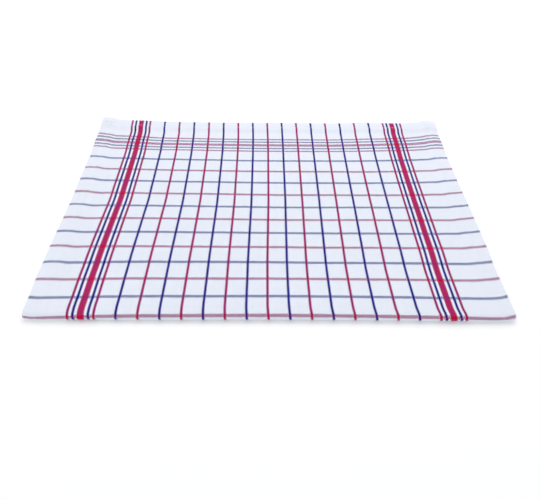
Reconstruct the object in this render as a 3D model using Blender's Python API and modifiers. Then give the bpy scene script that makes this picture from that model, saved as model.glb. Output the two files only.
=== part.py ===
"""Tea towel, woven cotton in a red and blue windowpane check, folded once in half.

One sheet of cloth, hemmed on all four sides, lies right side out. The bottom
layer is flat on the table, the cloth turns over in a soft nose at the front,
and the top layer comes back over it to the two end hems at the rear. The hems
are turned to the inside of the fold, so the top layer rises over them at both
sides and at the rear, and most where they cross at the rear corners.

Metres. +X runs along the fold, -Y is the folded edge and +Z is up.
"""

import math

import bmesh
import bpy

# The cloth as it is cut and hemmed, before it is folded.
CLOTH_WIDTH = 0.500
CLOTH_LENGTH = 0.700

# Hems: turned in twice, so three plies lie there, and more in the corners.
SIDE_HEM = 0.015
END_HEM = 0.014
HEM_STEP = 0.002

# Thickness of the sheet: plain, along a hem, and where two hems cross.
PLAIN_THICKNESS = 0.0012
HEM_THICKNESS = 0.0023
CORNER_THICKNESS = 0.0038

# Height of the top layer's upper face above the table.
PLAIN_HEIGHT = 0.0035
LEFT_HEM_RISE = 0.0024
RIGHT_HEM_RISE = 0.0018
END_HEM_RISE = 0.0030
CORNER_RISE = 0.0012
HEM_SLOPE = 0.012

# The left hem rolls down a little towards its edge, and the right hem up.
LEFT_EDGE_LIFT = -0.0007
RIGHT_EDGE_LIFT = 0.0005
EDGE_LIFT_WIDTH = 0.009

# The fold: a quarter circle under the tip, and a longer quarter over it. Past
# the nose the top layer comes down to its resting height. At both ends of the
# fold the tip is drawn in, which rounds the front corners.
NOSE_UNDER_RADIUS = 0.0033
NOSE_OVER_REACH = 0.0060
NOSE_OVER_HEIGHT = 0.0042
NOSE_FADE = 0.065
NOSE_END_PULL = 0.0014
NOSE_END_WIDTH = 0.012
FOLD_LINE_REACH = 0.150

# How the fold wanders. Columns: share of the half width, forwards.
FOLD_LINE = (
    (-1.00, 0.0018),
    (-0.45, 0.0011),
    (0.10, 0.0000),
    (1.00, 0.0002),
)

# How the two side edges wander, from the fold to the rear.
# Columns: share of the depth, left edge outwards, right edge outwards.
TOP_SIDE_EDGES = (
    (0.00, -0.0030, -0.0009),
    (0.05, -0.0022, -0.0004),
    (0.18, 0.0010, 0.0006),
    (0.30, 0.0018, 0.0026),
    (0.48, 0.0018, 0.0034),
    (0.60, 0.0030, 0.0036),
    (0.74, 0.0043, 0.0046),
    (0.88, 0.0076, 0.0070),
    (1.00, 0.0078, 0.0078),
)
BOTTOM_SIDE_EDGES = (
    (0.00, -0.0030, -0.0009),
    (0.40, -0.0012, 0.0004),
    (0.75, 0.0012, 0.0020),
    (1.00, 0.0034, 0.0030),
)

# How the rear edges wander. Columns: share of the half width, backwards.
TOP_REAR_EDGE = (
    (-1.00, 0.0062),
    (-0.93, 0.0038),
    (-0.80, 0.0034),
    (-0.60, 0.0006),
    (-0.20, 0.0004),
    (0.10, 0.0012),
    (0.35, 0.0022),
    (0.60, 0.0046),
    (0.80, 0.0050),
    (0.90, 0.0078),
    (0.965, 0.0086),
    (1.00, 0.0040),
)
BOTTOM_REAR_EDGE = (
    (-1.00, 0.0006),
    (-0.30, -0.0022),
    (0.50, -0.0004),
    (1.00, 0.0016),
)
REAR_EDGE_REACH = 0.120

# Soft swells of the top layer. Columns: share of the half width, share of the
# depth, radius, height.
SWELLS = (
    (-0.60, 0.55, 0.150, 0.0005),
    (0.05, 0.35, 0.120, -0.0003),
    (0.55, 0.60, 0.170, 0.0006),
)

# Steps of the grid in each stretch of the cloth.
STEPS_ON_HEM = 3
STEPS_ON_HEM_SLOPE = 4
ROWS_ON_FLAT = 11
ROWS_ON_FADE = 6
ROWS_ON_NOSE_QUARTER = 6
COLUMNS_BETWEEN_HEMS = 20

CLOTH_COLOUR = (0.80, 0.86, 0.93, 1.0)
CLOTH_ROUGHNESS = 0.9

HALF_WIDTH = CLOTH_WIDTH / 2
HALF_LENGTH = CLOTH_LENGTH / 2
NOSE_HEIGHT = NOSE_UNDER_RADIUS + NOSE_OVER_HEIGHT


def ease(share):
    """Rise from 0 to 1 with level ends."""
    share = min(max(share, 0.0), 1.0)
    return share * share * (3 - 2 * share)


def read_table(table, place, column):
    """Read a column of a table at a place between its rows, without corners."""
    for lower, upper in zip(table, table[1:]):
        if place <= upper[0]:
            share = ease((place - lower[0]) / (upper[0] - lower[0]))
            return lower[column] + (upper[column] - lower[column]) * share
    return table[-1][column]


def quarter_length(reach, height):
    """Length of a quarter of an ellipse, by Ramanujan's first formula."""
    spread = 3 * (reach + height) - math.sqrt((3 * reach + height) * (reach + 3 * height))
    return math.pi * spread / 4


NOSE_UNDER_LENGTH = quarter_length(NOSE_UNDER_RADIUS, NOSE_UNDER_RADIUS)
NOSE_OVER_LENGTH = quarter_length(NOSE_OVER_REACH, NOSE_OVER_HEIGHT)


def hem_share(distance, hem):
    """1 on a hem's plies, 0 on the plain cloth beside it."""
    return 1 - ease((distance - hem) / HEM_STEP)


def hem_lift(distance, hem):
    """How far the top layer is lifted at a distance from a hemmed edge, as a share."""
    return 1 - ease((distance - hem) / HEM_SLOPE)


def thickness(across, run):
    """Thickness of the sheet, counted inwards from its right side."""
    side = hem_share(HALF_WIDTH - abs(across), SIDE_HEM)
    end = hem_share(HALF_LENGTH - abs(run), END_HEM)
    one_hem = PLAIN_THICKNESS + (HEM_THICKNESS - PLAIN_THICKNESS) * max(side, end)
    return one_hem + (CORNER_THICKNESS - HEM_THICKNESS) * side * end


def resting_height(across, run):
    """Height of the top layer's upper face, away from the fold."""
    from_side = HALF_WIDTH - abs(across)
    side = hem_lift(from_side, SIDE_HEM)
    end = hem_lift(HALF_LENGTH - run, END_HEM)
    side_rise = LEFT_HEM_RISE if across < 0 else RIGHT_HEM_RISE
    edge_lift = LEFT_EDGE_LIFT if across < 0 else RIGHT_EDGE_LIFT
    height = PLAIN_HEIGHT + side_rise * side + END_HEM_RISE * end + CORNER_RISE * side * end
    height += edge_lift * (1 - ease(from_side / EDGE_LIFT_WIDTH))
    for swell_across, swell_depth, radius, swell_height in SWELLS:
        distance = math.hypot(across - swell_across * HALF_WIDTH, run - swell_depth * HALF_LENGTH)
        height += swell_height * (1 - ease(distance / radius))
    return height


def fold_section(across, run):
    """Place on the folded cloth's outer face as (distance behind the tip, height).

    The run is counted along the cloth from the tip of the nose, negative on
    the bottom layer and positive on the top layer.
    """
    if run <= -NOSE_UNDER_LENGTH:
        return NOSE_UNDER_RADIUS - NOSE_UNDER_LENGTH - run, 0.0
    if run <= 0:
        angle = run / NOSE_UNDER_LENGTH * math.pi / 2
        behind = NOSE_UNDER_RADIUS * (1 - math.cos(angle))
        return behind, NOSE_UNDER_RADIUS * (1 + math.sin(angle))
    if run <= NOSE_OVER_LENGTH:
        angle = run / NOSE_OVER_LENGTH * math.pi / 2
        behind = NOSE_OVER_REACH * (1 - math.cos(angle))
        return behind, NOSE_UNDER_RADIUS + NOSE_OVER_HEIGHT * math.sin(angle)
    past_nose = run - NOSE_OVER_LENGTH
    rest = resting_height(across, run)
    height = NOSE_HEIGHT + (rest - NOSE_HEIGHT) * ease(past_nose / NOSE_FADE)
    return NOSE_OVER_REACH + past_nose, height


def folded_place(across, run):
    """World place of a point of the cloth's right side, with the tip at y = 0."""
    behind, height = fold_section(across, run)
    depth_share = abs(run) / HALF_LENGTH
    side_share = across / HALF_WIDTH
    side_edges = TOP_SIDE_EDGES if run > 0 else BOTTOM_SIDE_EDGES
    rear_edge = TOP_REAR_EDGE if run > 0 else BOTTOM_REAR_EDGE
    outwards = read_table(side_edges, depth_share, 1 if across < 0 else 2)
    backwards = read_table(rear_edge, side_share, 1)
    rear_weight = ease(1 - (HALF_LENGTH - abs(run)) / REAR_EDGE_REACH)
    forwards = read_table(FOLD_LINE, side_share, 1) * ease(1 - abs(run) / FOLD_LINE_REACH)
    end_weight = ease(1 - (HALF_WIDTH - abs(across)) / NOSE_END_WIDTH)
    forwards -= NOSE_END_PULL * end_weight * ease(1 - abs(run) / NOSE_FADE)
    x = across + outwards * side_share * abs(side_share)
    y = behind + backwards * rear_weight - forwards
    return x, y, height


def stations(*spans):
    """Turn spans of (start, end, steps) into one rising list of positions."""
    places = [spans[0][0]]
    for start, end, steps in spans:
        places += [start + (end - start) * step / steps for step in range(1, steps + 1)]
    return places


def cloth_columns():
    """Positions of the columns of points, from the left edge to the right."""
    hem = HALF_WIDTH - SIDE_HEM
    plain = hem - HEM_SLOPE
    return stations(
        (-HALF_WIDTH, -hem, STEPS_ON_HEM),
        (-hem, -plain, STEPS_ON_HEM_SLOPE),
        (-plain, plain, COLUMNS_BETWEEN_HEMS),
        (plain, hem, STEPS_ON_HEM_SLOPE),
        (hem, HALF_WIDTH, STEPS_ON_HEM),
    )


def cloth_rows():
    """Positions of the rows of points, from the bottom layer's end to the top's."""
    hem = HALF_LENGTH - END_HEM
    plain = hem - HEM_SLOPE
    fade_end = NOSE_OVER_LENGTH + NOSE_FADE
    return stations(
        (-HALF_LENGTH, -hem, STEPS_ON_HEM),
        (-hem, -plain, STEPS_ON_HEM_SLOPE),
        (-plain, -NOSE_UNDER_LENGTH, ROWS_ON_FLAT),
        (-NOSE_UNDER_LENGTH, 0.0, ROWS_ON_NOSE_QUARTER),
        (0.0, NOSE_OVER_LENGTH, ROWS_ON_NOSE_QUARTER),
        (NOSE_OVER_LENGTH, fade_end, ROWS_ON_FADE),
        (fade_end, plain, ROWS_ON_FLAT),
        (plain, hem, STEPS_ON_HEM_SLOPE),
        (hem, HALF_LENGTH, STEPS_ON_HEM),
    )


def clear_scene():
    for old in list(bpy.data.objects):
        bpy.data.objects.remove(old, do_unlink=True)


def cloth_material():
    material = bpy.data.materials.new("checked_cotton")
    material.use_nodes = True
    shader = material.node_tree.nodes["Principled BSDF"]
    shader.inputs["Base Color"].default_value = CLOTH_COLOUR
    shader.inputs["Roughness"].default_value = CLOTH_ROUGHNESS
    shader.inputs["Metallic"].default_value = 0.0
    return material


def make_towel(collection):
    """Fold a flat grid into the towel, then give it its thickness inwards."""
    columns = cloth_columns()
    rows = cloth_rows()
    column_steps = len(columns) - 1
    row_steps = len(rows) - 1
    cloth = bmesh.new()
    bmesh.ops.create_grid(cloth, x_segments=column_steps, y_segments=row_steps, size=0.5)
    flat_places = []
    for point in cloth.verts:
        column = round((point.co.x + 0.5) * column_steps)
        row = round((point.co.y + 0.5) * row_steps)
        flat_places.append((columns[column], rows[row]))
    for point, (across, run) in zip(cloth.verts, flat_places):
        point.co = folded_place(across, run)
    middle_x = (min(p.co.x for p in cloth.verts) + max(p.co.x for p in cloth.verts)) / 2
    middle_y = (min(p.co.y for p in cloth.verts) + max(p.co.y for p in cloth.verts)) / 2
    bmesh.ops.translate(cloth, vec=(-middle_x, -middle_y, 0.0), verts=cloth.verts)

    mesh = bpy.data.meshes.new("towel")
    cloth.to_mesh(mesh)
    cloth.free()
    mesh.materials.append(cloth_material())
    mesh.shade_smooth()
    towel = bpy.data.objects.new("towel", mesh)
    collection.objects.link(towel)

    plies = towel.vertex_groups.new(name="plies")
    for index, (across, run) in enumerate(flat_places):
        plies.add([index], thickness(across, run) / CORNER_THICKNESS, "REPLACE")
    solidify = towel.modifiers.new("Solidify", "SOLIDIFY")
    solidify.thickness = CORNER_THICKNESS
    solidify.offset = -1.0
    solidify.use_even_offset = True
    solidify.vertex_group = plies.name
    return towel


def main():
    clear_scene()
    collection = bpy.data.collections.new("tea_towel")
    bpy.context.scene.collection.children.link(collection)
    make_towel(collection)


main()
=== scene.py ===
"""Finish of the tea towel: woven cloth on its folds, hem stitches, floor, light and camera.

The cloth is one sheet, hemmed on all four sides and folded once in half, right
side out. Its red and blue windowpane check is plain woven, and is worked out
from the counts of its threads.

Metres. +X runs along the fold, -Y is the folded edge and +Z is up.
"""

import math

import bmesh
import bpy
import numpy as np
from mathutils import Euler, Matrix, Vector


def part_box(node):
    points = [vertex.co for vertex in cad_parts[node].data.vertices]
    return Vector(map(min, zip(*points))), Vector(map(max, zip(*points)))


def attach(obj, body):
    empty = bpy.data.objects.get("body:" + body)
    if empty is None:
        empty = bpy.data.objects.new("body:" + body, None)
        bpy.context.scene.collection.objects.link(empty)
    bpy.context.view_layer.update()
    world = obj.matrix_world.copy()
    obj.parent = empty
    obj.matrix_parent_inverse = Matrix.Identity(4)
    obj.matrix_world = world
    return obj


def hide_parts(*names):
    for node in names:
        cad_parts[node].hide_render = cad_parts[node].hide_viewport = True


# ---------------------------------------------------------------- the folded sheet

# The cloth as it is cut and hemmed, before it is folded.
CLOTH_WIDTH = 0.500
CLOTH_LENGTH = 0.700
HALF_WIDTH = CLOTH_WIDTH / 2
HALF_LENGTH = CLOTH_LENGTH / 2

# Hems: turned in twice, so three plies lie there, and more in the corners.
SIDE_HEM = 0.015
END_HEM = 0.014
HEM_STEP = 0.0012

# Thickness of the sheet: plain, along a hem, and where two hems cross.
PLAIN_THICKNESS = 0.0010
HEM_THICKNESS = 0.0020
CORNER_THICKNESS = 0.0032

# Height of the top layer's upper face above the table.
PLAIN_HEIGHT = 0.0035
LEFT_HEM_RISE = 0.0024
RIGHT_HEM_RISE = 0.0018
END_HEM_RISE = 0.0030
CORNER_RISE = 0.0012
HEM_SLOPE = 0.012

# The left hem rolls down a little towards its edge, and the right hem up.
LEFT_EDGE_LIFT = -0.0007
RIGHT_EDGE_LIFT = 0.0005
EDGE_LIFT_WIDTH = 0.009

# The fold: a quarter circle under the tip, and a longer quarter over it. Past
# the nose the top layer comes down to its resting height. At both ends of the
# fold the tip is drawn in, which rounds the front corners.
NOSE_UNDER_RADIUS = 0.0033
NOSE_OVER_REACH = 0.0060
NOSE_OVER_HEIGHT = 0.0042
NOSE_FADE = 0.065
NOSE_END_PULL = 0.0014
NOSE_END_WIDTH = 0.012
FOLD_LINE_REACH = 0.150

# How the fold wanders. Columns: share of the half width, forwards.
FOLD_LINE = (
    (-1.00, 0.0018),
    (-0.45, 0.0011),
    (0.10, 0.0000),
    (1.00, 0.0002),
)

# How the two side edges wander, from the fold to the rear.
# Columns: share of the depth, left edge outwards, right edge outwards.
TOP_SIDE_EDGES = (
    (0.00, -0.0030, -0.0009),
    (0.05, -0.0022, -0.0004),
    (0.18, 0.0010, 0.0006),
    (0.30, 0.0018, 0.0026),
    (0.48, 0.0018, 0.0034),
    (0.60, 0.0030, 0.0036),
    (0.74, 0.0043, 0.0046),
    (0.88, 0.0076, 0.0070),
    (1.00, 0.0078, 0.0078),
)
BOTTOM_SIDE_EDGES = (
    (0.00, -0.0030, -0.0009),
    (0.40, -0.0012, 0.0004),
    (0.75, 0.0012, 0.0020),
    (1.00, 0.0034, 0.0030),
)

# How the rear edges wander. Columns: share of the half width, backwards.
TOP_REAR_EDGE = (
    (-1.00, 0.0062),
    (-0.93, 0.0038),
    (-0.80, 0.0034),
    (-0.60, 0.0006),
    (-0.20, 0.0004),
    (0.10, 0.0012),
    (0.35, 0.0022),
    (0.60, 0.0046),
    (0.80, 0.0050),
    (0.90, 0.0078),
    (0.965, 0.0086),
    (1.00, 0.0040),
)
BOTTOM_REAR_EDGE = (
    (-1.00, 0.0006),
    (-0.30, -0.0022),
    (0.50, -0.0004),
    (1.00, 0.0016),
)
REAR_EDGE_REACH = 0.120

# Soft swells of the top layer. Columns: share of the half width, share of the
# depth, radius, height.
SWELLS = (
    (-0.60, 0.55, 0.150, 0.0005),
    (0.05, 0.35, 0.120, -0.0003),
    (0.55, 0.60, 0.170, 0.0006),
)

# Soft creases of the top layer, troughs below zero and ridges above. Columns:
# start across, start run, end across, end run, half width, height.
CREASES = (
    (-0.226, 0.020, -0.221, 0.335, 0.0045, -0.00030),
    (-0.213, 0.115, -0.206, 0.190, 0.0030, 0.00022),
    (-0.219, 0.150, -0.212, 0.235, 0.0025, -0.00018),
    (0.219, 0.030, 0.217, 0.330, 0.0055, -0.00028),
    (0.207, 0.060, 0.211, 0.150, 0.0040, 0.00018),
    (-0.120, 0.100, -0.060, 0.128, 0.0060, -0.00016),
    (0.020, 0.205, 0.115, 0.178, 0.0070, 0.00018),
    (0.125, 0.085, 0.185, 0.112, 0.0060, -0.00015),
    (-0.165, 0.270, -0.085, 0.283, 0.0060, 0.00016),
    (0.060, 0.295, 0.150, 0.288, 0.0055, -0.00014),
    (-0.253, 0.3375, -0.227, 0.3375, 0.0014, -0.00110),
    (-0.229, 0.3350, -0.230, 0.3520, 0.0015, -0.00070),
    (0.226, 0.3385, 0.247, 0.3365, 0.0015, -0.00050),
)
# How far a crease bows, and how soon it fades in from each end, as shares of its
# length.
CREASE_BOW = 0.02
CREASE_FADE = 0.25

# Long low waves that are left after ironing. Columns: waves per metre across,
# waves per metre along, phase, height.
WAVES = (
    (7.0, 3.0, 0.4, 0.00010),
    (-4.0, 9.0, 2.1, 0.00009),
    (13.0, -6.0, 4.0, 0.00005),
    (3.0, 17.0, 1.2, 0.00005),
)

# Sewing: a row of stitches near each hem's inner edge, pressed into the cloth,
# which puckers between the stitches and the edge.
SIDE_STITCH_INSET = 0.0130
END_STITCH_INSET = 0.0125
STITCH_PITCH = 0.0030
STITCH_LENGTH = 0.0024
STITCH_RADIUS = 0.00026
STITCH_LEAN = 0.00020
STITCH_OFFSET = 0.00010
STITCH_SIDES = 6
STITCH_SEED = 11
# Columns: place along the stitch as a share, width as a share, height above the cloth.
STITCH_SECTION = (
    (-0.50, 0.25, -0.00032),
    (-0.38, 0.80, -0.00006),
    (-0.16, 1.00, 0.00012),
    (0.16, 1.00, 0.00012),
    (0.38, 0.80, -0.00006),
    (0.50, 0.25, -0.00032),
)
ROW_END_GAP = 0.002
STITCH_TROUGH_DEPTH = 0.00045
STITCH_TROUGH_HALF_WIDTH = 0.0022
PUCKER_PITCH = 0.0105
PUCKER_HEIGHT = 0.00016
PUCKER_REACH = 0.006
# Where the puckers of the side hems and of the end hems start, as angles.
SIDE_PUCKER_START = 0.9
END_PUCKER_START = 2.3
# What makes the puckers uneven. Columns: sway, pace, times the start.
PUCKER_SWAYS = (
    (1.7, 0.230, 1),
    (0.9, 0.071, 2),
)

# Steps of the grid: fine on the hems and the nose, coarser on the plain cloth.
STEP_ON_HEM = 0.0010
STEP_ON_TOP = 0.0026
STEP_UNDER = 0.0060
STEP_BETWEEN_HEMS = 0.0040
STEPS_ON_NOSE_QUARTER = 10
STEPS_ON_RIM_QUARTER = 3

# How far to both sides the cloth is looked at for its direction, and how close two
# points are that become one.
NORMAL_REACH = 0.0002
WELD_DISTANCE = 0.000001

# ---------------------------------------------------------------- the weave

# Spacing of the threads. Warp ends run from the front to the rear, and weft
# picks run across.
END_SPACING = 0.0010912
PICK_SPACING = 0.0014322

# The check: a line of two threads every so many, and a border of five stripes.
LINE_WIDTH = 2
WARP_REPEAT = 20
WEFT_REPEAT = 16
WARP_LINES_END = 150
WEFT_LINES_END = 184
# Columns: distance from the middle in threads, threads, colour.
WARP_BORDER = (
    (160.0, 2, "red"),
    (165.0, 2, "blue"),
    (172.0, 6, "wide_red"),
    (179.0, 2, "blue"),
    (184.0, 2, "red"),
)
WEFT_BORDER = (
    (192.0, 2, "red"),
    (197.0, 2, "blue"),
    (203.0, 4, "wide_red"),
    (209.0, 2, "blue"),
    (214.0, 2, "red"),
)

# How the threads wander from even spacing, backwards and to the right. The bows
# grow towards an edge, and the hem's pull is on the hem alone. Columns: share of
# the depth, shift in the middle, bow at the left edge, bow at the right edge,
# pull of the right hem.
WEFT_DRIFT = (
    (0.00, 0.0048, -0.0038, -0.0030, 0.0028),
    (0.08, 0.0047, -0.0034, -0.0016, 0.0028),
    (0.14, 0.0058, -0.0032, -0.0004, 0.0028),
    (0.22, 0.0066, -0.0028, -0.0002, 0.0020),
    (0.36, 0.0053, -0.0020, 0.0025, 0.0016),
    (0.50, 0.0036, 0.0000, 0.0040, 0.0014),
    (0.64, 0.0056, 0.0024, 0.0074, -0.0004),
    (0.78, 0.0072, 0.0026, 0.0086, -0.0012),
    (0.90, 0.0023, 0.0048, 0.0092, 0.0012),
    (1.00, 0.0023, 0.0048, 0.0092, 0.0012),
)
# Columns: share of the depth, shift in the middle, further shift from the middle
# to the right edge, bow at the left edge, bow at the right edge.
WARP_DRIFT = (
    (0.00, -0.0014, 0.0010, -0.0014, -0.0012),
    (0.04, -0.0027, -0.0004, -0.0026, -0.0014),
    (0.22, -0.0030, 0.0005, -0.0016, 0.0004),
    (0.50, -0.0020, -0.0014, -0.0020, -0.0002),
    (0.80, -0.0026, 0.0004, 0.0002, -0.0010),
    (0.91, -0.0032, 0.0027, 0.0030, -0.0028),
    (1.00, -0.0043, 0.0048, 0.0032, -0.0034),
)
BOW_POWER = 3
HEM_PULL_POWER = 24
SIDE_SHARE_LIMIT = 2

# Half widths of the yarns as shares of their spacing. A dyed yarn is fuller
# than the white one that it crosses. A float narrows towards both of its ends.
WARP_HALF = 0.47
WARP_HALF_DYED = 0.53
WARP_HALF_ON_DYED_WEFT = 0.28
WEFT_HALF = 0.38
WEFT_HALF_DYED = 0.50
WEFT_HALF_ON_DYED_WARP = 0.03
# Columns: change with the square of the place along the float, share at its middle.
WARP_TAPER = (-0.5, 1.04)
WEFT_TAPER = (-0.7, 1.05)

# Half widths and half length of a dyed yarn's float, where it bulges over the
# white yarns beside it. No two floats bulge alike.
WARP_FLOAT_HALF_WIDTHS = (1.10, 1.50)
WEFT_FLOAT_HALF_WIDTHS = (0.60, 1.15)
FLOAT_HALF_LENGTH = 0.62

# Red looks brighter in the warp than in the weft, more so in the wide stripe than
# in a line. Both dyes look clearest where a yarn crosses one of its own colour.
WHITE_YARN = (0.795, 0.825, 0.915, 1.0)
WARP_COLOURS = {
    "red": (0.31, 0.003, 0.12, 1.0),
    "wide_red": (0.43, 0.014, 0.11, 1.0),
    "blue": (0.003, 0.005, 0.19, 1.0),
}
WEFT_COLOURS = {
    "red": (0.25, 0.004, 0.13, 1.0),
    "wide_red": (0.26, 0.010, 0.16, 1.0),
    "blue": (0.003, 0.026, 0.20, 1.0),
}
CROSSING_RED = (0.52, 0.000, 0.026, 1.0)
CROSSING_BLUE = (0.005, 0.000, 0.30, 1.0)

# Slow change of a yarn's tone. Columns: part of the tone that changes, least tone.
YARN_TONE = (0.14, 0.93)
TONE_PACE_ACROSS = 0.73
TONE_PACE_ALONG = 0.055
TONE_DETAIL = 2.0
WARP_TONE_PLACE = 0.0
WEFT_TONE_PLACE = 7.0

# Relief of the weave: the arches of the yarns, as shares of half a wave, and the
# heights of the yarns that lie underneath, as shares of those on top.
WARP_ARCH = 0.92
WEFT_ARCH = 0.95
FLOAT_ARCH = 0.85
SUNK_WARP_HEIGHT = 0.35
SUNK_WEFT_HEIGHT = 0.25
# Painted shade in the gaps between the yarns: the colour is darkened where the relief is low.
# Columns: how much brighter the tops are than the gaps, brightness of the gaps.
PAINTED_GAP_SHADE = (0.16, 0.87)

# Fine fibres that stand off the yarns.
FIBRE_SCALE = 2.6
FIBRE_DETAIL = 3.0
FIBRE_HEIGHT = 0.25
# Columns: change with the fibres, least roughness.
CLOTH_ROUGHNESS = (0.12, 0.82)
CLOTH_BUMP_STRENGTH = 0.35
CLOTH_BUMP_HEIGHT = 0.00025
CLOTH_FINISH = {
    "Specular IOR Level": 0.15,
    "Sheen Weight": 0.04,
    "Sheen Roughness": 0.5,
}

# The sewing thread: its colour in the grooves of its twist, darkened with painted shade, and on
# the ridges; then its relief.
THREAD_PAINTED_GROOVE_SHADE = ((0.74, 0.80, 0.88, 1.0), (0.86, 0.91, 0.96, 1.0))
THREAD_TWIST_SCALE = 900.0
THREAD_TWIST_DISTORTION = 1.5
THREAD_BUMP_STRENGTH = 0.4
THREAD_BUMP_HEIGHT = 0.0001
THREAD_FINISH = {
    "Roughness": 0.6,
    "Sheen Weight": 0.1,
}

# ---------------------------------------------------------------- camera and light

# The camera stands in front of the fold and looks down on the towel.
CAMERA_PLACE = (-0.0058, -0.3878, 0.3576)
CAMERA_PITCH = math.radians(49.58)
CAMERA_YAW = math.radians(-1.11)
CAMERA_ROLL = math.radians(1.38)
FOCAL_PIXELS = 404.4
IMAGE_WIDTH_PIXELS = 540
SENSOR_WIDTH = 36.0
CLIP_START = 0.01

# Soft lights, all aimed at the middle. The low one on the left skims the cloth and
# brings out the rise of its hems. Columns: name, place, size, watts.
SOFTBOXES = (
    ("softbox_behind", (0.1, 0.9, 1.2), 1.2, 13.5),
    ("softbox_front", (0.3, -1.6, 0.9), 1.4, 6.2),
    ("low_left", (-0.66, -0.22, 0.09), 0.12, 0.5),
)

# The light that comes from all sides.
ROOM_COLOUR = (0.97, 0.985, 1.0, 1.0)
ROOM_STRENGTH = 0.63

FLOOR_SIZE = 8.0
FLOOR_GAP = 0.0002
FLOOR_FINISH = {
    "Base Color": (0.98, 0.98, 0.98, 1.0),
    "Roughness": 0.8,
    "Specular IOR Level": 0.1,
}

# Grid of points on the folded cloth from which its box is read.
SURVEY_COLUMNS = 201
SURVEY_ROWS = 401


def ease(share):
    """Rise from 0 to 1 with level ends."""
    share = np.clip(share, 0.0, 1.0)
    return share * share * (3 - 2 * share)


def read_table(table, places, column):
    """Read a column of a table at places between its rows, without corners."""
    rows = np.array(table)
    lower = np.clip(np.searchsorted(rows[:, 0], places) - 1, 0, len(rows) - 2)
    share = ease((places - rows[lower, 0]) / (rows[lower + 1, 0] - rows[lower, 0]))
    return rows[lower, column] + (rows[lower + 1, column] - rows[lower, column]) * share


def quarter_length(reach, height):
    """Length of a quarter of an ellipse, by Ramanujan's first formula."""
    spread = 3 * (reach + height) - math.sqrt((3 * reach + height) * (reach + 3 * height))
    return math.pi * spread / 4


NOSE_UNDER_LENGTH = quarter_length(NOSE_UNDER_RADIUS, NOSE_UNDER_RADIUS)
NOSE_OVER_LENGTH = quarter_length(NOSE_OVER_REACH, NOSE_OVER_HEIGHT)


def thickness(across, run):
    """Thickness of the sheet, counted inwards from its right side."""
    side = 1 - ease((HALF_WIDTH - np.abs(across) - SIDE_HEM) / HEM_STEP)
    end = 1 - ease((HALF_LENGTH - np.abs(run) - END_HEM) / HEM_STEP)
    one_hem = PLAIN_THICKNESS + (HEM_THICKNESS - PLAIN_THICKNESS) * np.maximum(side, end)
    return one_hem + (CORNER_THICKNESS - HEM_THICKNESS) * side * end


def crease_height(across, run):
    """Sum of the soft troughs and ridges, each fading out at its ends."""
    height = np.zeros_like(across)
    for start_across, start_run, end_across, end_run, half_width, rise in CREASES:
        along_x = end_across - start_across
        along_y = end_run - start_run
        length = math.hypot(along_x, along_y)
        forward = ((across - start_across) * along_x + (run - start_run) * along_y) / length
        sideways = ((across - start_across) * along_y - (run - start_run) * along_x) / length
        bow = CREASE_BOW * length * np.sin(math.pi * forward / length)
        ends = np.clip(forward / length, 0, 1)
        fade = ease(ends / CREASE_FADE) * ease((1 - ends) / CREASE_FADE)
        height += rise * fade * np.exp(-((sideways - bow) / half_width) ** 2)
    return height


def wave_height(across, run):
    """Sum of the long low waves."""
    height = np.zeros_like(across)
    for across_waves, along_waves, phase, rise in WAVES:
        turn = 2 * math.pi * (across * across_waves + run * along_waves) + phase
        height += rise * np.sin(turn)
    return height


def resting_height(across, run):
    """Height of the top layer's upper face, away from the fold."""
    from_side = HALF_WIDTH - np.abs(across)
    from_end = HALF_LENGTH - run
    side = 1 - ease((from_side - SIDE_HEM) / HEM_SLOPE)
    end = 1 - ease((from_end - END_HEM) / HEM_SLOPE)
    side_rise = np.where(across < 0, LEFT_HEM_RISE, RIGHT_HEM_RISE)
    edge_lift = np.where(across < 0, LEFT_EDGE_LIFT, RIGHT_EDGE_LIFT)
    height = PLAIN_HEIGHT + side_rise * side + END_HEM_RISE * end + CORNER_RISE * side * end
    height = height + edge_lift * (1 - ease(from_side / EDGE_LIFT_WIDTH))
    for swell_across, swell_depth, radius, swell_height in SWELLS:
        offset_x = across - swell_across * HALF_WIDTH
        offset_y = run - swell_depth * HALF_LENGTH
        height += swell_height * (1 - ease(np.hypot(offset_x, offset_y) / radius))
    return height + crease_height(across, run) + wave_height(across, run)


def fold_section(across, run):
    """Place on the folded cloth's outer face as (distance behind the tip, height)."""
    under_angle = np.clip(run / NOSE_UNDER_LENGTH, -1, 0) * math.pi / 2
    over_angle = np.clip(run / NOSE_OVER_LENGTH, 0, 1) * math.pi / 2
    past_nose = np.maximum(run - NOSE_OVER_LENGTH, 0)
    past_under = np.maximum(-NOSE_UNDER_LENGTH - run, 0)
    under_behind = NOSE_UNDER_RADIUS * (1 - np.cos(under_angle)) + past_under
    over_behind = NOSE_OVER_REACH * (1 - np.cos(over_angle)) + past_nose
    under_height = NOSE_UNDER_RADIUS * (1 + np.sin(under_angle))
    over_height = NOSE_UNDER_RADIUS + NOSE_OVER_HEIGHT * np.sin(over_angle)
    settle = ease(past_nose / NOSE_FADE)
    over_height = over_height + (resting_height(across, run) - over_height) * settle
    on_top = run > 0
    return np.where(on_top, over_behind, under_behind), np.where(on_top, over_height, under_height)


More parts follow.
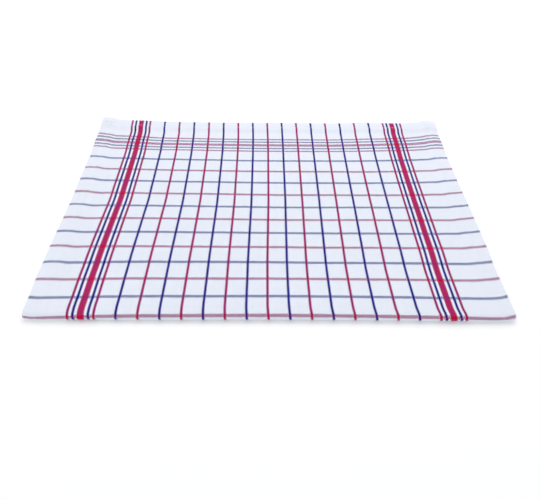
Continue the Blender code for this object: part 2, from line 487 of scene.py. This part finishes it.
def smooth_place(across, run):
    """Place of a point of the cloth's right side with its main folds only."""
    behind, height = fold_section(across, run)
    depth_share = np.abs(run) / HALF_LENGTH
    side_share = across / HALF_WIDTH
    top_left = read_table(TOP_SIDE_EDGES, depth_share, 1)
    top_right = read_table(TOP_SIDE_EDGES, depth_share, 2)
    bottom_left = read_table(BOTTOM_SIDE_EDGES, depth_share, 1)
    bottom_right = read_table(BOTTOM_SIDE_EDGES, depth_share, 2)
    on_top = run > 0
    outwards = np.where(
        across < 0,
        np.where(on_top, top_left, bottom_left),
        np.where(on_top, top_right, bottom_right),
    )
    backwards = np.where(
        on_top,
        read_table(TOP_REAR_EDGE, side_share, 1),
        read_table(BOTTOM_REAR_EDGE, side_share, 1),
    )
    rear_weight = ease(1 - (HALF_LENGTH - np.abs(run)) / REAR_EDGE_REACH)
    forwards = read_table(FOLD_LINE, side_share, 1) * ease(1 - np.abs(run) / FOLD_LINE_REACH)
    end_weight = ease(1 - (HALF_WIDTH - np.abs(across)) / NOSE_END_WIDTH)
    forwards = forwards - NOSE_END_PULL * end_weight * ease(1 - np.abs(run) / NOSE_FADE)
    x = across + outwards * side_share * np.abs(side_share)
    y = behind + backwards * rear_weight - forwards
    return np.stack([x, y, height], axis=-1)


def smooth_normal(across, run):
    """Direction out of the cloth's right side."""
    reach = NORMAL_REACH
    along_x = smooth_place(across + reach, run) - smooth_place(across - reach, run)
    along_run = smooth_place(across, run + reach) - smooth_place(across, run - reach)
    normal = np.cross(along_x, along_run)
    return normal / np.linalg.norm(normal, axis=-1, keepdims=True)


def sewn_relief(across, run):
    """How far the sewing moves the right side outwards: troughs and puckers.

    The table presses the puckers of the bottom layer flat.
    """
    from_side = HALF_WIDTH - np.abs(across)
    from_end = HALF_LENGTH - np.abs(run)
    relief = np.zeros_like(across)
    for distance, inset, along, start in (
        (from_side, SIDE_STITCH_INSET, run, SIDE_PUCKER_START),
        (from_end, END_STITCH_INSET, across, END_PUCKER_START),
    ):
        offset = (distance - inset) / STITCH_TROUGH_HALF_WIDTH
        relief -= STITCH_TROUGH_DEPTH * np.exp(-(offset**2))
        turn = 2 * math.pi * along / PUCKER_PITCH
        swayed = turn.copy()
        for sway, pace, times in PUCKER_SWAYS:
            swayed += sway * np.sin(turn * pace + times * start)
        near = np.where(distance < inset, 1.0, 1 - ease((distance - inset) / PUCKER_REACH))
        puckers = PUCKER_HEIGHT * near * np.sin(swayed)
        relief += np.where(run < 0, 0.0, puckers)
    return relief


def cloth_place(across, run, depth, shift):
    """Place of a point of the cloth at a depth under its right side."""
    normal = smooth_normal(across, run)
    relief = sewn_relief(across, run)
    return smooth_place(across, run) + normal * (relief - depth)[..., None] + shift


def threads_at(across, run):
    """Which end and which pick pass through a point, counted from the middle."""
    depth_share = np.clip(run / HALF_LENGTH, 0, 1)
    side_share = across / HALF_WIDTH
    left_share = np.clip(-side_share, 0, SIDE_SHARE_LIMIT)
    right_share = np.clip(side_share, 0, SIDE_SHARE_LIMIT)
    left_bow = left_share**BOW_POWER
    right_bow = right_share**BOW_POWER
    right_hem = right_share**HEM_PULL_POWER

    def drift(table, *shapes):
        rows = np.array(table)
        columns = (np.interp(depth_share, rows[:, 0], column) for column in rows[:, 1:].T)
        return sum(column * shape for column, shape in zip(columns, shapes))

    ends = (across - drift(WARP_DRIFT, 1, side_share, left_bow, right_bow)) / END_SPACING
    picks = (run - drift(WEFT_DRIFT, 1, left_bow, right_bow, right_hem)) / PICK_SPACING
    return ends, picks


def stations(*spans):
    """Turn spans of (start, end, steps) into one rising array of positions."""
    places = [spans[0][0]]
    for start, end, steps in spans:
        places += [start + (end - start) * step / steps for step in range(1, steps + 1)]
    return np.array(places)


def steps_for(length, step):
    """Number of equal steps nearest to a step's length."""
    return max(1, round(length / step))


def cloth_columns():
    """Positions across of the columns of points, without the rims."""
    edge = HALF_WIDTH - HEM_THICKNESS / 2
    plain = HALF_WIDTH - SIDE_HEM - HEM_SLOPE
    on_hem = steps_for(edge - plain, STEP_ON_HEM)
    between = steps_for(2 * plain, STEP_BETWEEN_HEMS)
    return stations((-edge, -plain, on_hem), (-plain, plain, between), (plain, edge, on_hem))


def cloth_rows():
    """Positions along of the rows of points, from end to end, without the rims."""
    edge = HALF_LENGTH - HEM_THICKNESS / 2
    plain = HALF_LENGTH - END_HEM - HEM_SLOPE
    on_hem = steps_for(edge - plain, STEP_ON_HEM)
    under = steps_for(plain - NOSE_UNDER_LENGTH, STEP_UNDER)
    over = steps_for(plain - NOSE_OVER_LENGTH, STEP_ON_TOP)
    return stations(
        (-edge, -plain, on_hem),
        (-plain, -NOSE_UNDER_LENGTH, under),
        (-NOSE_UNDER_LENGTH, 0.0, STEPS_ON_NOSE_QUARTER),
        (0.0, NOSE_OVER_LENGTH, STEPS_ON_NOSE_QUARTER),
        (NOSE_OVER_LENGTH, plain, over),
        (plain, edge, on_hem),
    )


def make_mesh_object(name, points, faces):
    """New object in the scene from an array of points and a list of faces."""
    mesh = bpy.data.meshes.new(name)
    mesh.from_pydata(points.tolist(), [], faces)
    piece = bpy.data.objects.new(name, mesh)
    bpy.context.scene.collection.objects.link(piece)
    return piece


def make_cloth(shift):
    """Weave the closed sheet as rings round its section, one ring for each row.

    A ring runs over the right side, round the right rim, back over the wrong
    side and round the left rim. The rings at both ends flatten to a line.
    """
    radius = HEM_THICKNESS / 2
    quarter = STEPS_ON_RIM_QUARTER
    columns = cloth_columns()
    rows = cloth_rows()

    rim_angles = math.pi * np.arange(1, 2 * quarter) / (2 * quarter)
    rim_out = columns[-1] + radius * np.sin(rim_angles)
    rim_thread = columns[-1] + radius * np.minimum(rim_angles, math.pi - rim_angles)
    ring_across = np.concatenate([columns, rim_out, columns[::-1], -rim_out[::-1]])
    ring_thread = np.concatenate([columns, rim_thread, columns[::-1], -rim_thread[::-1]])
    side_angle = np.concatenate(
        [np.zeros(len(columns)), rim_angles, np.full(len(columns), math.pi), rim_angles[::-1]]
    )

    end_angles = math.pi / 2 * np.arange(1, quarter + 1) / quarter
    end_run = rows[-1] + radius * np.sin(end_angles)
    end_thread = rows[-1] + radius * end_angles
    run = np.concatenate([-end_run[::-1], rows, end_run])
    run_thread = np.concatenate([-end_thread[::-1], rows, end_thread])
    end_angle = np.concatenate([end_angles[::-1], np.zeros(len(rows)), end_angles])

    across_grid, run_grid = np.meshgrid(ring_across, run)
    side_grid, end_grid = np.meshgrid(side_angle, end_angle)
    sheet = thickness(across_grid, run_grid)
    depth = sheet / 2 * (1 - np.cos(side_grid) * np.cos(end_grid))
    points = cloth_place(across_grid, run_grid, depth, shift).reshape(-1, 3)
    ends, picks = threads_at(*np.meshgrid(ring_thread, run_thread))

    ring = len(ring_across)
    corner = np.arange(len(run) - 1)[:, None] * ring + np.arange(ring)[None, :]
    beside = np.arange(len(run) - 1)[:, None] * ring + (np.arange(ring)[None, :] + 1) % ring
    faces = np.stack([corner, beside, beside + ring, corner + ring], axis=-1).reshape(-1, 4)
    cloth = make_mesh_object("woven_cloth", points, faces.tolist())

    threads = cloth.data.uv_layers.new(name="threads")
    counts = np.stack([ends.ravel(), picks.ravel()], axis=-1)[faces.ravel()]
    threads.data.foreach_set("uv", counts.astype(np.float32).ravel())

    weld = bmesh.new()
    weld.from_mesh(cloth.data)
    bmesh.ops.remove_doubles(weld, verts=weld.verts, dist=WELD_DISTANCE)
    weld.to_mesh(cloth.data)
    weld.free()
    cloth.data.shade_smooth()
    return cloth


def stitch_middles():
    """Middles of the stitches as across, run and whether each runs along the cloth."""
    across, run, lengthwise = [], [], []
    for half, other_half, inset, along in (
        (HALF_WIDTH, HALF_LENGTH, SIDE_STITCH_INSET, True),
        (HALF_LENGTH, HALF_WIDTH, END_STITCH_INSET, False),
    ):
        reach = other_half - ROW_END_GAP
        count = steps_for(2 * reach, STITCH_PITCH)
        places = ((np.arange(count) + 0.5) / count * 2 - 1) * reach
        for side in (-1, 1):
            line = np.full(count, side * (half - inset))
            across.append(line if along else places)
            run.append(places if along else line)
            lengthwise.append(np.full(count, along))
    return np.concatenate(across), np.concatenate(run), np.concatenate(lengthwise)


def make_stitches(shift):
    """Short arched lengths of thread on both sides of the cloth, their ends sunk in it."""
    shares, widths, lifts = np.array(STITCH_SECTION).T
    across, run, lengthwise = stitch_middles()
    chance = np.random.default_rng(STITCH_SEED)
    points = []
    for face_sign in (1, -1):
        lean = chance.normal(0.0, STITCH_LEAN, len(across))
        offset = chance.normal(0.0, STITCH_OFFSET, len(across))
        along = np.broadcast_to(shares * STITCH_LENGTH, (len(across), len(shares)))
        aside = shares * lean[:, None] + offset[:, None]
        line_across = across[:, None] + np.where(lengthwise[:, None], aside, along)
        line_run = run[:, None] + np.where(lengthwise[:, None], along, aside)
        normal = smooth_normal(line_across, line_run)
        depth = thickness(line_across, line_run) if face_sign < 0 else np.zeros_like(line_run)
        line = cloth_place(line_across, line_run, depth, shift)
        line = line + normal * (face_sign * lifts)[:, None]
        ahead = line[:, -1:] - line[:, :1]
        beside = np.cross(ahead, normal)
        beside = beside / np.linalg.norm(beside, axis=-1, keepdims=True)
        angles = 2 * math.pi * np.arange(STITCH_SIDES) / STITCH_SIDES
        reach = (STITCH_RADIUS * widths)[:, None, None]
        sideways = beside[..., None, :] * np.cos(angles)[:, None]
        upwards = normal[..., None, :] * np.sin(angles)[:, None]
        points.append(line[..., None, :] + (sideways + upwards) * reach)
    points = np.concatenate(points)
    count, rings = points.shape[:2]
    start = (np.arange(count * rings) * STITCH_SIDES).reshape(count, rings, 1)
    corner = np.arange(STITCH_SIDES)
    near = start[:, :-1] + corner
    beyond = start[:, :-1] + (corner + 1) % STITCH_SIDES
    walls = np.stack([near, beyond, beyond + STITCH_SIDES, near + STITCH_SIDES], axis=-1)
    caps = [start[:, 0] + corner[::-1], start[:, -1] + corner]
    faces = walls.reshape(-1, 4).tolist() + [cap for end in caps for cap in end.tolist()]
    stitches = make_mesh_object("hem_stitches", points.reshape(-1, 3), faces)
    tidy = bmesh.new()
    tidy.from_mesh(stitches.data)
    bmesh.ops.recalc_face_normals(tidy, faces=tidy.faces)
    tidy.to_mesh(stitches.data)
    tidy.free()
    stitches.data.shade_smooth()
    return stitches


class NodeSum:
    """Shorthand for chains of nodes in one material."""

    def __init__(self, material):
        material.use_nodes = True
        self.tree = material.node_tree
        self.shader = self.tree.nodes["Principled BSDF"]

    def add(self, kind, **inputs):
        node = self.tree.nodes.new(kind)
        for name, value in inputs.items():
            node.inputs[name].default_value = value
        return node

    def link(self, source, target):
        self.tree.links.new(source, target)

    def set_inputs(self, values):
        """Set inputs of the surface by their names."""
        for name, value in values.items():
            self.shader.inputs[name].default_value = value

    def math(self, operation, *values):
        node = self.add("ShaderNodeMath")
        node.operation = operation
        for slot, value in zip(node.inputs, values):
            if isinstance(value, (int, float)):
                slot.default_value = value
            else:
                self.link(value, slot)
        return node.outputs[0]

    def choose(self, share, without, with_it):
        """The first colour where the share is 0, and the second where it is 1."""
        node = self.add("ShaderNodeMix")
        node.data_type = "RGBA"
        self.link(share, node.inputs["Factor"])
        for slot, value in zip((node.inputs[6], node.inputs[7]), (without, with_it)):
            if isinstance(value, tuple):
                slot.default_value = value
            else:
                self.link(value, slot)
        return node.outputs[2]

    def choose_number(self, share, without, with_it):
        """The first number where the share is 0, and the second where it is 1."""
        change = self.math("SUBTRACT", with_it, without)
        return self.math("MULTIPLY_ADD", share, change, without)

    def any_of(self, *masks):
        """1 where any of the masks is 1."""
        total = masks[0]
        for mask in masks[1:]:
            total = self.math("MAXIMUM", total, mask)
        return total

    def all_of(self, *masks):
        """1 where all of the masks are 1."""
        product = masks[0]
        for mask in masks[1:]:
            product = self.math("MULTIPLY", product, mask)
        return product

    def opposite(self, mask):
        return self.math("SUBTRACT", 1.0, mask)

    def place(self, across, along):
        """A place for the noises, from two numbers."""
        node = self.add("ShaderNodeCombineXYZ")
        self.link(across, node.inputs[0])
        self.link(along, node.inputs[1])
        return node

    def bump(self, height, strength, distance):
        """Raise the surface by a height from 0 to 1."""
        node = self.add("ShaderNodeBump", Strength=strength, Distance=distance)
        self.link(height, node.inputs["Height"])
        self.link(node.outputs[0], self.shader.inputs["Normal"])


def dye_masks(nodes, thread, repeat, lines_end, border):
    """Masks of the red, wide red and blue yarns by the thread's place from the middle."""
    from_middle = nodes.math("ABSOLUTE", thread)
    swing = nodes.math("PINGPONG", thread, repeat)
    inside = nodes.math("LESS_THAN", from_middle, lines_end)
    red = nodes.math("LESS_THAN", swing, LINE_WIDTH / 2)
    blue = nodes.math("GREATER_THAN", swing, repeat - LINE_WIDTH / 2)
    masks = {
        "red": nodes.all_of(red, inside),
        "wide_red": 0.0,
        "blue": nodes.all_of(blue, inside),
    }
    for place, count, colour in border:
        stripe = nodes.math("COMPARE", from_middle, place, count / 2)
        masks[colour] = nodes.any_of(masks[colour], stripe)
    return masks["red"], masks["wide_red"], masks["blue"]


def warp_masks(nodes, thread):
    """Masks of the dyes of the warp yarn at a place."""
    return dye_masks(nodes, thread, WARP_REPEAT, WARP_LINES_END, WARP_BORDER)


def weft_masks(nodes, thread):
    """Masks of the dyes of the weft yarn at a place."""
    return dye_masks(nodes, thread, WEFT_REPEAT, WEFT_LINES_END, WEFT_BORDER)


class Crossing:
    """What the nodes work out about the crossing of two yarns at a point."""


def find_crossing(nodes, threads):
    """Where a point lies in the crossing of two yarns, and which of them is on top."""
    split = nodes.add("ShaderNodeSeparateXYZ")
    nodes.link(threads.outputs[0], split.inputs[0])
    at = Crossing()
    at.end_place = split.outputs[0]
    at.pick_place = split.outputs[1]
    at.end = nodes.math("FLOOR", at.end_place)
    at.pick = nodes.math("FLOOR", at.pick_place)
    at.end_middle = nodes.math("ADD", at.end, 0.5)
    at.pick_middle = nodes.math("ADD", at.pick, 0.5)
    # Places within the crossing, from -0.5 to 0.5.
    at.in_warp = nodes.math("SUBTRACT", at.end_place, at.end_middle)
    at.in_weft = nodes.math("SUBTRACT", at.pick_place, at.pick_middle)
    at.from_warp = nodes.math("ABSOLUTE", at.in_warp)
    at.from_weft = nodes.math("ABSOLUTE", at.in_weft)
    # 1 where the weft passes over the warp, as on the dark squares of a board.
    parity = nodes.math("MODULO", nodes.math("ADD", at.end, at.pick), 2.0)
    at.weft_over = nodes.math("ABSOLUTE", parity)
    return at


def find_dyes(nodes, at):
    """Dyes of both yarns at a crossing, and of the next ones on the nearer side."""
    at.next_end = nodes.math("ADD", at.end_middle, nodes.math("SIGN", at.in_warp))
    at.next_pick = nodes.math("ADD", at.pick_middle, nodes.math("SIGN", at.in_weft))
    at.warp_dyes = warp_masks(nodes, at.end_middle)
    at.weft_dyes = weft_masks(nodes, at.pick_middle)
    at.next_warp_dyes = warp_masks(nodes, at.next_end)
    at.next_weft_dyes = weft_masks(nodes, at.next_pick)
    at.warp_dyed = nodes.any_of(*at.warp_dyes)
    at.weft_dyed = nodes.any_of(*at.weft_dyes)
    at.warp_plain = nodes.opposite(at.warp_dyed)
    at.weft_plain = nodes.opposite(at.weft_dyed)


def taper(nodes, half, along, shares):
    """Half width of a float at a place along it."""
    square = nodes.math("MULTIPLY", along, along)
    return nodes.math("MULTIPLY", half, nodes.math("MULTIPLY_ADD", square, *shares))


def find_cover(nodes, at):
    """What the yarn on top covers of its crossing, and where the weft shows."""
    white_on_dyed_weft = nodes.all_of(at.warp_plain, at.weft_dyed)
    white_on_dyed_warp = nodes.all_of(at.weft_plain, at.warp_dyed)
    warp_half = nodes.choose_number(white_on_dyed_weft, WARP_HALF, WARP_HALF_ON_DYED_WEFT)
    warp_half = nodes.choose_number(at.warp_dyed, warp_half, WARP_HALF_DYED)
    weft_half = nodes.choose_number(white_on_dyed_weft, WEFT_HALF, WEFT_HALF_DYED)
    weft_half = nodes.choose_number(white_on_dyed_warp, weft_half, WEFT_HALF_ON_DYED_WARP)
    warp_half = taper(nodes, warp_half, at.from_weft, WARP_TAPER)
    weft_half = taper(nodes, weft_half, at.from_warp, WEFT_TAPER)
    on_warp = nodes.math("LESS_THAN", at.from_warp, warp_half)
    at.beside_warp = nodes.opposite(on_warp)
    at.on_weft = nodes.math("LESS_THAN", at.from_weft, weft_half)
    at.weft_shows = nodes.choose_number(at.weft_over, at.beside_warp, at.on_weft)


def yarn_colour(nodes, dyes, colours):
    """Colour of a yarn from the masks of its dyes."""
    red, wide_red, blue = dyes
    colour = nodes.choose(red, WHITE_YARN, colours["red"])
    colour = nodes.choose(wide_red, colour, colours["wide_red"])
    return nodes.choose(blue, colour, colours["blue"])


def bulge_mask(nodes, beside, along, float_place, half_widths):
    """1 where a float from next door, of its own width, bulges over this crossing."""
    chance = nodes.add("ShaderNodeTexWhiteNoise")
    chance.noise_dimensions = "2D"
    nodes.link(nodes.place(*float_place).outputs[0], chance.inputs["Vector"])
    least, most = half_widths
    half_width = nodes.math("MULTIPLY_ADD", chance.outputs["Value"], most - least, least)
    width = nodes.math("DIVIDE", nodes.math("SUBTRACT", 1.0, beside), half_width)
    length = nodes.math("DIVIDE", along, FLOAT_HALF_LENGTH)
    square = nodes.math("MULTIPLY", length, length)
    return nodes.math("LESS_THAN", nodes.math("MULTIPLY_ADD", width, width, square), 1.0)


def crossing_colour(nodes, at):
    """Colour of the yarn that shows, under the dyed floats that bulge over white ones."""
    warp_colour = yarn_colour(nodes, at.warp_dyes, WARP_COLOURS)
    weft_colour = yarn_colour(nodes, at.weft_dyes, WEFT_COLOURS)
    colour = nodes.choose(at.weft_shows, warp_colour, weft_colour)

    weft_float = (at.end_middle, at.next_pick)
    bulge = bulge_mask(nodes, at.from_weft, at.from_warp, weft_float, WEFT_FLOAT_HALF_WIDTHS)
    white = nodes.all_of(nodes.opposite(at.weft_over), at.warp_plain, at.weft_plain)
    bulge = nodes.all_of(bulge, nodes.any_of(*at.next_weft_dyes), white)
    colour = nodes.choose(bulge, colour, yarn_colour(nodes, at.next_weft_dyes, WEFT_COLOURS))

    warp_float = (at.next_end, at.pick_middle)
    bulge = bulge_mask(nodes, at.from_warp, at.from_weft, warp_float, WARP_FLOAT_HALF_WIDTHS)
    white = nodes.all_of(at.weft_over, at.weft_plain)
    bulge = nodes.all_of(bulge, nodes.any_of(*at.next_warp_dyes), white)
    colour = nodes.choose(bulge, colour, yarn_colour(nodes, at.next_warp_dyes, WARP_COLOURS))

    red_warp = nodes.any_of(*at.warp_dyes[:2])
    red_weft = nodes.any_of(*at.weft_dyes[:2])
    colour = nodes.choose(nodes.all_of(red_warp, red_weft), colour, CROSSING_RED)
    both_blue = nodes.all_of(at.warp_dyes[2], at.weft_dyes[2])
    return nodes.choose(both_blue, colour, CROSSING_BLUE)


def yarn_tone(nodes, index, along, apart):
    """Slow change of tone along a yarn and from one yarn to the next."""
    index = nodes.math("MULTIPLY", index, TONE_PACE_ACROSS)
    along = nodes.math("MULTIPLY", along, TONE_PACE_ALONG)
    place = nodes.place(index, along)
    place.inputs[2].default_value = apart
    slub = nodes.add("ShaderNodeTexNoise", Scale=1.0, Detail=TONE_DETAIL)
    nodes.link(place.outputs[0], slub.inputs["Vector"])
    return nodes.math("MULTIPLY_ADD", slub.outputs["Fac"], *YARN_TONE)


def arch(nodes, place, share):
    """Height of an arch over the places from -0.5 to 0.5."""
    return nodes.math("COSINE", nodes.math("MULTIPLY", place, math.pi * share))


def crossing_relief(nodes, at):
    """Height of the yarns' round tops."""
    warp_round = arch(nodes, at.in_warp, WARP_ARCH)
    weft_round = arch(nodes, at.in_weft, WEFT_ARCH)
    warp_top = nodes.math("MULTIPLY", warp_round, arch(nodes, at.in_weft, FLOAT_ARCH))
    weft_top = nodes.math("MULTIPLY", weft_round, arch(nodes, at.in_warp, FLOAT_ARCH))
    sunk_warp = nodes.math("MULTIPLY", warp_round, SUNK_WARP_HEIGHT)
    sunk_weft = nodes.math("MULTIPLY", weft_round, SUNK_WEFT_HEIGHT)
    under_warp = nodes.choose_number(at.beside_warp, warp_top, sunk_weft)
    under_weft = nodes.choose_number(at.on_weft, sunk_warp, weft_top)
    return nodes.choose_number(at.weft_over, under_warp, under_weft)


def make_cloth_material():
    """Plain weave, worked out from the counts of the threads."""
    material = bpy.data.materials.new("checked_cotton")
    nodes = NodeSum(material)
    threads = nodes.add("ShaderNodeUVMap")
    threads.uv_map = "threads"
    at = find_crossing(nodes, threads)
    find_dyes(nodes, at)
    find_cover(nodes, at)
    colour = crossing_colour(nodes, at)
    relief = crossing_relief(nodes, at)

    warp_tone = yarn_tone(nodes, at.end, at.pick_place, WARP_TONE_PLACE)
    weft_tone = yarn_tone(nodes, at.pick, at.end_place, WEFT_TONE_PLACE)
    tone = nodes.choose_number(at.weft_shows, warp_tone, weft_tone)
    # The yarns' own tone, times painted shade that darkens the colour in the gaps between them.
    shade = nodes.math("MULTIPLY", tone, nodes.math("MULTIPLY_ADD", relief, *PAINTED_GAP_SHADE))
    shaded = nodes.add("ShaderNodeVectorMath")
    shaded.operation = "SCALE"
    nodes.link(colour, shaded.inputs[0])
    nodes.link(shade, shaded.inputs["Scale"])
    nodes.link(shaded.outputs[0], nodes.shader.inputs["Base Color"])

    # Fine fibres stand off the yarns and break up the light.
    fibres = nodes.add("ShaderNodeTexNoise", Scale=FIBRE_SCALE, Detail=FIBRE_DETAIL)
    nodes.link(threads.outputs[0], fibres.inputs["Vector"])
    height = nodes.math("MULTIPLY_ADD", fibres.outputs["Fac"], FIBRE_HEIGHT, relief)
    nodes.bump(height, CLOTH_BUMP_STRENGTH, CLOTH_BUMP_HEIGHT)
    roughness = nodes.math("MULTIPLY_ADD", fibres.outputs["Fac"], *CLOTH_ROUGHNESS)
    nodes.link(roughness, nodes.shader.inputs["Roughness"])
    nodes.set_inputs(CLOTH_FINISH)
    return material


def make_thread_material():
    """White sewing thread with its twist."""
    material = bpy.data.materials.new("white_sewing_thread")
    nodes = NodeSum(material)
    place = nodes.add("ShaderNodeTexCoord")
    twist = nodes.add(
        "ShaderNodeTexWave", Scale=THREAD_TWIST_SCALE, Distortion=THREAD_TWIST_DISTORTION
    )
    nodes.link(place.outputs["Object"], twist.inputs["Vector"])
    # Painted shade: the white thread is coloured darker where its twist is low.
    shade = nodes.choose(twist.outputs["Fac"], *THREAD_PAINTED_GROOVE_SHADE)
    nodes.link(shade, nodes.shader.inputs["Base Color"])
    nodes.bump(twist.outputs["Fac"], THREAD_BUMP_STRENGTH, THREAD_BUMP_HEIGHT)
    nodes.set_inputs(THREAD_FINISH)
    return material


def make_floor():
    """Lay a plain pale floor just under the towel."""
    bpy.ops.mesh.primitive_plane_add(size=FLOOR_SIZE, location=(0.0, 0.0, -FLOOR_GAP))
    floor = bpy.context.object
    floor.name = "floor"
    material = bpy.data.materials.new("pale_floor")
    nodes = NodeSum(material)
    nodes.set_inputs(FLOOR_FINISH)
    floor.data.materials.append(material)


def light_scene():
    """Fill the room with soft light and hang the softboxes."""
    world = bpy.data.worlds.new("soft_white_room")
    bpy.context.scene.world = world
    world.use_nodes = True
    background = world.node_tree.nodes["Background"]
    background.inputs["Color"].default_value = ROOM_COLOUR
    background.inputs["Strength"].default_value = ROOM_STRENGTH
    for name, place, size, power in SOFTBOXES:
        light = bpy.data.lights.new(name, "AREA")
        light.size = size
        light.energy = power
        lamp = bpy.data.objects.new(name, light)
        lamp.location = place
        lamp.rotation_euler = (-Vector(place)).to_track_quat("-Z", "Y").to_euler()
        bpy.context.scene.collection.objects.link(lamp)
    bpy.context.scene.view_settings.view_transform = "Standard"


def add_camera():
    """Place the camera that sees the towel as in the photo."""
    data = bpy.data.cameras.new("camera")
    data.sensor_width = SENSOR_WIDTH
    data.lens = FOCAL_PIXELS / IMAGE_WIDTH_PIXELS * SENSOR_WIDTH
    data.clip_start = CLIP_START
    camera = bpy.data.objects.new("camera", data)
    aim = Euler((math.pi / 2 - CAMERA_PITCH, 0.0, CAMERA_YAW)).to_matrix()
    camera.matrix_world = (aim @ Matrix.Rotation(CAMERA_ROLL, 3, "Z")).to_4x4()
    camera.location = CAMERA_PLACE
    bpy.context.scene.collection.objects.link(camera)
    bpy.context.scene.camera = camera


def fold_shift():
    """Shift that brings the fold's own frame, with its tip at y = 0, onto the part."""
    low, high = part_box("towel")
    columns = np.linspace(-1, 1, SURVEY_COLUMNS) * HALF_WIDTH
    rows = np.linspace(-1, 1, SURVEY_ROWS) * HALF_LENGTH
    across, run = np.meshgrid(columns, rows)
    outer = smooth_place(across, run).reshape(-1, 3)
    middle = (outer.min(axis=0) + outer.max(axis=0)) / 2
    return np.array([(low.x + high.x) / 2 - middle[0], (low.y + high.y) / 2 - middle[1], 0.0])


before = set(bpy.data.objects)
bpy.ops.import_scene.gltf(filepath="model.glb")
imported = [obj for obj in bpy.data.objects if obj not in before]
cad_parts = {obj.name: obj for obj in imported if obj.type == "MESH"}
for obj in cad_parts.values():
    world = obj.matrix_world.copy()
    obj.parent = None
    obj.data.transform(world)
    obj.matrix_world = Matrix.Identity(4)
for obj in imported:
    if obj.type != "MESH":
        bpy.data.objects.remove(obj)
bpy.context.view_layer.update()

shift = fold_shift()
cloth = make_cloth(shift)
cloth.data.materials.append(make_cloth_material())
stitches = make_stitches(shift)
stitches.data.materials.append(make_thread_material())

for piece in (cloth, stitches):
    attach(piece, "root")
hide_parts("towel")

make_floor()
light_scene()
add_camera()
